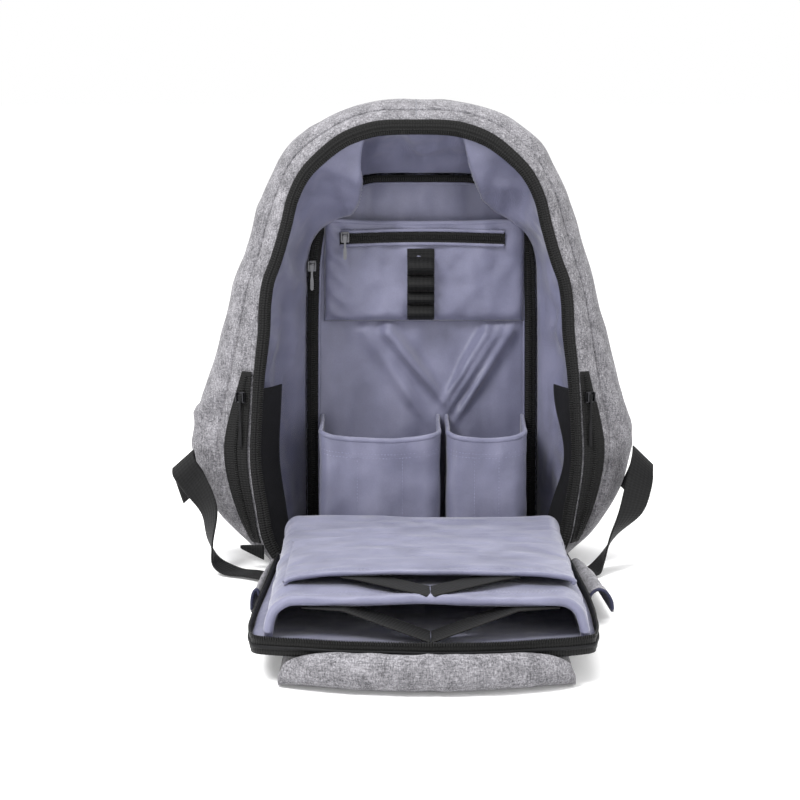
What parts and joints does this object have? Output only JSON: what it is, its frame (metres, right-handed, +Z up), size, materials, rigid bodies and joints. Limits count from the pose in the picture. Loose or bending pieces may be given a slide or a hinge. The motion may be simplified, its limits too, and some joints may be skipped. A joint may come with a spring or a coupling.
{
  "type": "anti theft backpack",
  "caption": "Backpack standing open, its padded back panel with two sleeves folded down in front of a hollow body with divider, organizer and pockets.",
  "frame": {"origin": "on the floor, at the middle of the underside of the body's base", "axes": "+Z up, the body's open mouth and the folded back panel towards -Y, +X to the right as seen from the mouth"},
  "size_m": [0.4651, 0.6132, 0.449],
  "materials": {
    "shell_fabric": "matte melange polyester",
    "lining_fabric": "smooth nylon with a soft sheen",
    "black_fabric": "matte nylon",
    "zip_tape": "woven tape with coil teeth",
    "webbing": "woven webbing",
    "metal": "satin"
  },
  "bodies": {
    "root": {"front_panel": "shell_fabric", "side_panel_left": "shell_fabric", "side_panel_right": "shell_fabric", "base_panel": "shell_fabric", "main_zip_tape": "zip_tape", "lining_left": "lining_fabric", "lining_top": "lining_fabric", "lining_right": "lining_fabric", "gusset_left": "black_fabric", "gusset_right": "black_fabric", "divider_panel": "lining_fabric", "divider_zip_tape": "zip_tape", "divider_slider": "metal", "organizer_pocket": "lining_fabric", "organizer_zip_tape": "zip_tape", "organizer_slider": "metal", "pen_loops": "webbing", "wide_pocket": "lining_fabric", "narrow_pocket": "lining_fabric", "side_zip_tape_left": "zip_tape", "side_zip_tape_right": "zip_tape", "side_zip_left_slider": "metal", "side_zip_right_slider": "metal", "back_panel": "lining_fabric", "panel_zip_tape": "zip_tape", "large_sleeve": "lining_fabric", "small_sleeve": "lining_fabric", "large_hold_strap_left": "webbing", "large_hold_strap_right": "webbing", "small_hold_strap_left": "webbing", "small_hold_strap_right": "webbing", "side_wing_left": "shell_fabric", "side_wing_right": "shell_fabric", "strap_yoke": "shell_fabric", "shoulder_strap_left": "shell_fabric", "shoulder_strap_right": "shell_fabric", "webbing_left": "webbing", "webbing_right": "webbing", "corner_tab": "webbing"},
    "divider_pull": {"divider_puller": "metal"},
    "organizer_pull": {"organizer_puller": "metal"},
    "side_pull_left": {"side_zip_left_puller": "black_fabric"},
    "side_pull_right": {"side_zip_right_puller": "black_fabric"}
  },
  "joints": [
    {"name": "divider_pull_swing", "type": "hinge", "parent": "root", "child": "divider_pull", "pos_m": [-0.1026, 0.02423, 0.287], "axis": [-1, 0, 0], "range_deg": [0, 110]},
    {"name": "organizer_pull_swing", "type": "hinge", "parent": "root", "child": "organizer_pull", "pos_m": [-0.0695, 0.0105, 0.317], "axis": [-1, 0, 0], "range_deg": [0, 110]},
    {"name": "side_pull_left_swing", "type": "hinge", "parent": "root", "child": "side_pull_left", "pos_m": [-0.16925, -0.06609, 0.17], "axis": [-0.9055, 0.4243, 0], "range_deg": [0, 110]},
    {"name": "side_pull_right_swing", "type": "hinge", "parent": "root", "child": "side_pull_right", "pos_m": [0.16805, -0.06466, 0.17], "axis": [-0.883, -0.4693, 0], "range_deg": [0, 110]}
  ]
}
